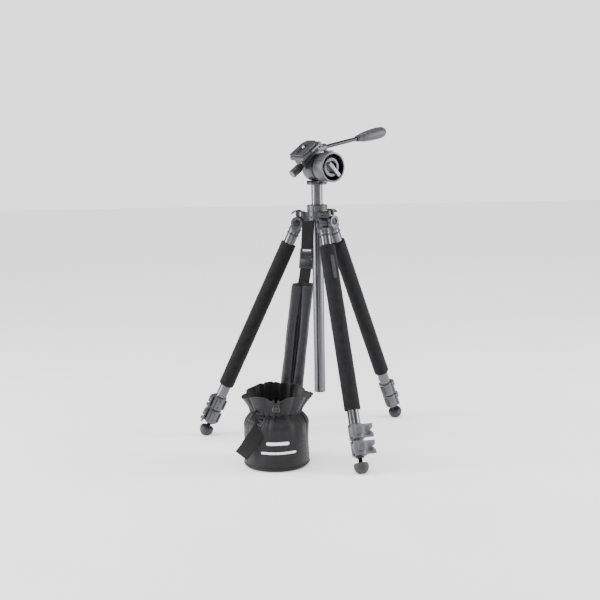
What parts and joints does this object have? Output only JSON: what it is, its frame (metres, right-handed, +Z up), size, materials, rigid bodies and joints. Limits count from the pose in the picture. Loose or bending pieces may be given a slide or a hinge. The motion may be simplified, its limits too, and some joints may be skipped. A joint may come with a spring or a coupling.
{
  "type": "camera tripod",
  "caption": "Folding camera tripod with flip-lock telescoping legs, foam grips, a rising column, a pan-and-tilt head with handle and quick plate, a shoulder strap and a drawstring pouch.",
  "frame": {"origin": "on the floor, on the axis of the centre column, between the three feet", "axes": "+Z up along the centre column; +X to the viewer's right and -Y towards the viewer of the usual three-quarter view; the handle points 38 degrees from +X towards +Y"},
  "size_m": [0.5026, 0.5203, 0.7344],
  "materials": {
    "anodised_tube": "satin anodised, titanium grey",
    "grey_casting": "fine-textured grey paint on a die casting",
    "grey_plastic": "fine-textured moulded grey",
    "black_plastic": "satin moulded black",
    "black_steel": "black oxide, satin",
    "bright_steel": "bright machined",
    "foam": "matte closed-cell foam",
    "soft_rubber": "matte moulded rubber",
    "webbing": "ribbed woven nylon",
    "nylon_cloth": "fine woven nylon, slight sheen"
  },
  "bodies": {
    "shoulder": {"shoulder_casting": "grey_casting", "hinge_bolts": "black_steel", "strap_upper_webbing": "webbing", "buckle_socket": "black_plastic", "buckle_plug": "black_plastic", "strap_pad": "nylon_cloth", "pouch_body": "nylon_cloth", "pouch_drawcord": "webbing"},
    "column_lock": {"column_lock_collar": "grey_casting"},
    "column": {"center_column": "anodised_tube", "column_end_cap": "black_plastic", "head_base": "grey_casting"},
    "pan_head": {"pan_body": "grey_casting", "tilt_drum": "grey_casting"},
    "wing": {"tilt_wing": "grey_casting"},
    "tilt_block": {"tilt_body": "grey_casting"},
    "handle": {"handle_rod": "black_steel", "handle_grip": "soft_rubber"},
    "side_knob": {"side_tilt_knob": "black_plastic"},
    "platform": {"platform": "grey_casting"},
    "plate_latch": {"plate_lever": "bright_steel"},
    "quick_release_plate": {"quick_plate": "black_plastic"},
    "screw": {"camera_screw": "bright_steel"},
    "locating_pin": {"video_pin": "black_plastic"},
    "front_leg": {"front_leg_bracket": "grey_casting", "front_leg_upper_tube": "anodised_tube", "front_leg_foam_grip": "foam", "front_leg_upper_lock_body": "grey_plastic"},
    "front_leg_upper_lever": {"front_leg_upper_lock_lever": "grey_plastic"},
    "front_leg_middle": {"front_leg_middle_tube": "anodised_tube", "front_leg_lower_lock_body": "grey_plastic"},
    "front_leg_lower_lever": {"front_leg_lower_lock_lever": "grey_plastic"},
    "front_leg_lower": {"front_leg_lower_tube": "anodised_tube", "front_leg_spike_stem": "black_steel"},
    "front_leg_foot": {"front_leg_rubber_foot": "soft_rubber"},
    "front_leg_pawl": {"front_leg_angle_lever": "black_plastic"},
    "right_leg": {"right_leg_bracket": "grey_casting", "right_leg_upper_tube": "anodised_tube", "right_leg_foam_grip": "foam", "right_leg_upper_lock_body": "grey_plastic"},
    "right_leg_upper_lever": {"right_leg_upper_lock_lever": "grey_plastic"},
    "right_leg_middle": {"right_leg_middle_tube": "anodised_tube", "right_leg_lower_lock_body": "grey_plastic"},
    "right_leg_lower_lever": {"right_leg_lower_lock_lever": "grey_plastic"},
    "right_leg_lower": {"right_leg_lower_tube": "anodised_tube", "right_leg_spike_stem": "black_steel"},
    "right_leg_foot": {"right_leg_rubber_foot": "soft_rubber"},
    "right_leg_pawl": {"right_leg_angle_lever": "black_plastic"},
    "left_leg": {"left_leg_bracket": "grey_casting", "left_leg_upper_tube": "anodised_tube", "left_leg_foam_grip": "foam", "left_leg_upper_lock_body": "grey_plastic"},
    "left_leg_upper_lever": {"left_leg_upper_lock_lever": "grey_plastic"},
    "left_leg_middle": {"left_leg_middle_tube": "anodised_tube", "left_leg_lower_lock_body": "grey_plastic"},
    "left_leg_lower_lever": {"left_leg_lower_lock_lever": "grey_plastic"},
    "left_leg_lower": {"left_leg_lower_tube": "anodised_tube", "left_leg_spike_stem": "black_steel"},
    "left_leg_foot": {"left_leg_rubber_foot": "soft_rubber"},
    "left_leg_pawl": {"left_leg_angle_lever": "black_plastic"}
  },
  "joints": [
    {"name": "column_lock_turn", "type": "hinge", "parent": "shoulder", "child": "column_lock", "pos_m": [0, 0, 0.5438], "axis": [0, 0, 1], "range_deg": [0, 90]},
    {"name": "column_slide", "type": "slide", "parent": "shoulder", "child": "column", "axis": [0, 0, 1], "range_m": [-0.044, 0.3]},
    {"name": "head_pan", "type": "hinge", "parent": "column", "child": "pan_head", "pos_m": [0, 0, 0.609], "axis": [0, 0, 1], "continuous": true},
    {"name": "wing_turn", "type": "hinge", "parent": "pan_head", "child": "wing", "pos_m": [0, 0, 0.645], "axis": [0.6157, -0.788, 0], "range_deg": [0, 90]},
    {"name": "head_tilt", "type": "hinge", "parent": "pan_head", "child": "tilt_block", "pos_m": [0, 0, 0.645], "axis": [0.6157, -0.788, 0], "range_deg": [-64.5, 25]},
    {"name": "handle_twist", "type": "hinge", "parent": "tilt_block", "child": "handle", "pos_m": [0.01421, 0.0111, 0.68797], "axis": [0.7763, 0.6065, 0.1719], "range_deg": [0, 360]},
    {"name": "side_knob_turn", "type": "hinge", "parent": "tilt_block", "child": "side_knob", "pos_m": [-0.03847, -0.03006, 0.64542], "axis": [-0.6494, -0.5074, -0.5664], "range_deg": [0, 360]},
    {"name": "side_tilt", "type": "hinge", "parent": "tilt_block", "child": "platform", "pos_m": [-0.03198, -0.02499, 0.65108], "axis": [-0.6494, -0.5074, -0.5664], "range_deg": [0, 90]},
    {"name": "plate_lever_swing", "type": "hinge", "parent": "platform", "child": "plate_latch", "pos_m": [0.00815, -0.02916, 0.69532], "axis": [-0.4463, -0.3487, 0.8241], "range_deg": [0, 70]},
    {"name": "plate_lift", "type": "slide", "parent": "platform", "child": "quick_release_plate", "axis": [-0.4463, -0.3487, 0.8241], "range_m": [0, 0.03]},
    {"name": "camera_screw_turn", "type": "hinge", "parent": "quick_release_plate", "child": "screw", "pos_m": [-0.02946, -0.02302, 0.68968], "axis": [-0.4463, -0.3487, 0.8241], "continuous": true},
    {"name": "video_pin_press", "type": "slide", "parent": "quick_release_plate", "child": "locating_pin", "axis": [0.4463, 0.3487, -0.8241], "range_m": [0, 0.002], "stiffness_N_per_m": 300, "springref_m": -0.004},
    {"name": "front_leg_spread", "type": "hinge", "parent": "shoulder", "child": "front_leg", "pos_m": [0.01329, -0.04404, 0.517], "axis": [-0.9573, -0.289, 0], "range_deg": [-25, 55]},
    {"name": "front_leg_upper_lever_flip", "type": "hinge", "parent": "front_leg", "child": "front_leg_upper_lever", "pos_m": [0.0591, -0.25006, 0.08446], "axis": [0.1234, -0.4088, -0.9042], "range_deg": [0, 100]},
    {"name": "front_leg_middle_slide", "type": "slide", "parent": "front_leg", "child": "front_leg_middle", "axis": [0.1234, -0.4088, -0.9042], "range_m": [0, 0.39]},
    {"name": "front_leg_lower_lever_flip", "type": "hinge", "parent": "front_leg_middle", "child": "front_leg_lower_lever", "pos_m": [0.06354, -0.26478, 0.0519], "axis": [0.1234, -0.4088, -0.9042], "range_deg": [0, 100]},
    {"name": "front_leg_lower_slide", "type": "slide", "parent": "front_leg_middle", "child": "front_leg_lower", "axis": [0.1234, -0.4088, -0.9042], "range_m": [0, 0.39]},
    {"name": "front_leg_foot_screw_up", "type": "slide", "parent": "front_leg_lower", "child": "front_leg_foot", "axis": [-0.1234, 0.4088, 0.9042], "range_m": [0, 0.01]},
    {"name": "front_leg_angle_lever_lift", "type": "hinge", "parent": "shoulder", "child": "front_leg_pawl", "pos_m": [0.00983, -0.03255, 0.5395], "axis": [-0.9573, -0.289, 0], "range_deg": [0, 25], "stiffness_Nm_per_rad": 0.04, "springref_deg": -20.05},
    {"name": "right_leg_spread", "type": "hinge", "parent": "shoulder", "child": "right_leg", "pos_m": [0.03149, 0.03353, 0.517], "axis": [0.729, -0.6845, 0], "range_deg": [-25, 55]},
    {"name": "right_leg_upper_lever_flip", "type": "hinge", "parent": "right_leg", "child": "right_leg_upper_lever", "pos_m": [0.18701, 0.17621, 0.08446], "axis": [0.2923, 0.3113, -0.9042], "range_deg": [0, 100]},
    {"name": "right_leg_middle_slide", "type": "slide", "parent": "right_leg", "child": "right_leg_middle", "axis": [0.2923, 0.3113, -0.9042], "range_m": [0, 0.39]},
    {"name": "right_leg_lower_lever_flip", "type": "hinge", "parent": "right_leg_middle", "child": "right_leg_lower_lever", "pos_m": [0.19753, 0.18742, 0.0519], "axis": [0.2923, 0.3113, -0.9042], "range_deg": [0, 100]},
    {"name": "right_leg_lower_slide", "type": "slide", "parent": "right_leg_middle", "child": "right_leg_lower", "axis": [0.2923, 0.3113, -0.9042], "range_m": [0, 0.39]},
    {"name": "right_leg_foot_screw_up", "type": "slide", "parent": "right_leg_lower", "child": "right_leg_foot", "axis": [-0.2923, -0.3113, 0.9042], "range_m": [0, 0.01]},
    {"name": "right_leg_angle_lever_lift", "type": "hinge", "parent": "shoulder", "child": "right_leg_pawl", "pos_m": [0.02328, 0.02479, 0.5395], "axis": [0.729, -0.6845, 0], "range_deg": [0, 25], "stiffness_Nm_per_rad": 0.04, "springref_deg": -20.05},
    {"name": "left_leg_spread", "type": "hinge", "parent": "shoulder", "child": "left_leg", "pos_m": [-0.04478, 0.0105, 0.517], "axis": [0.2284, 0.9736, 0], "range_deg": [-25, 55]},
    {"name": "left_leg_upper_lever_flip", "type": "hinge", "parent": "left_leg", "child": "left_leg_upper_lever", "pos_m": [-0.24611, 0.07385, 0.08446], "axis": [-0.4158, 0.0975, -0.9042], "range_deg": [0, 100]},
    {"name": "left_leg_middle_slide", "type": "slide", "parent": "left_leg", "child": "left_leg_middle", "axis": [-0.4158, 0.0975, -0.9042], "range_m": [0, 0.39]},
    {"name": "left_leg_lower_lever_flip", "type": "hinge", "parent": "left_leg_middle", "child": "left_leg_lower_lever", "pos_m": [-0.26108, 0.07736, 0.0519], "axis": [-0.4158, 0.0975, -0.9042], "range_deg": [0, 100]},
    {"name": "left_leg_lower_slide", "type": "slide", "parent": "left_leg_middle", "child": "left_leg_lower", "axis": [-0.4158, 0.0975, -0.9042], "range_m": [0, 0.39]},
    {"name": "left_leg_foot_screw_up", "type": "slide", "parent": "left_leg_lower", "child": "left_leg_foot", "axis": [0.4158, -0.0975, 0.9042], "range_m": [0, 0.01]},
    {"name": "left_leg_angle_lever_lift", "type": "hinge", "parent": "shoulder", "child": "left_leg_pawl", "pos_m": [-0.0331, 0.00776, 0.5395], "axis": [0.2284, 0.9736, 0], "range_deg": [0, 25], "stiffness_Nm_per_rad": 0.04, "springref_deg": -20.05}
  ]
}
